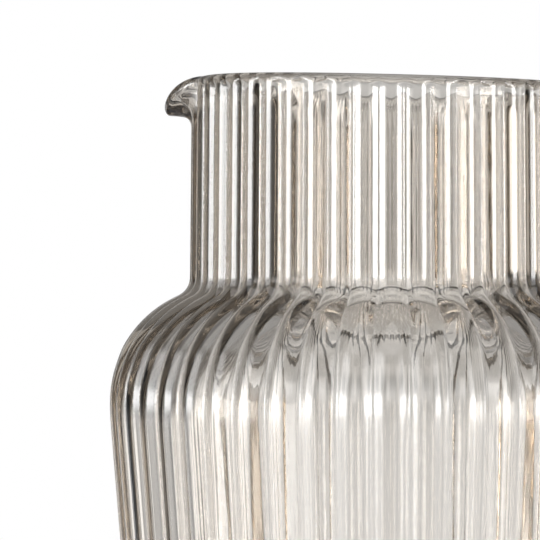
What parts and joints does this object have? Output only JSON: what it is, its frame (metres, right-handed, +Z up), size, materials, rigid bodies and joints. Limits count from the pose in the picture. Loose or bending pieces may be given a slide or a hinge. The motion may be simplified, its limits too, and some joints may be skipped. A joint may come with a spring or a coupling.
{
  "type": "glass carafe",
  "caption": "Smoke-grey ribbed glass carafe with a straight neck, rounded shoulder, tapering body and pulled pouring lip.",
  "frame": {"origin": "on the vessel's axis, in the plane of the foot", "axes": "+Z up the vessel's axis to the mouth; the pouring lip points to -X; the picture looks along +Y"},
  "size_m": [0.0892, 0.0894, 0.1914],
  "materials": {
    "smoke_glass": "polished"
  },
  "bodies": {
    "root": {"ribbed_vessel": "smoke_glass", "lip_wrap": "smoke_glass"}
  },
  "joints": []
}
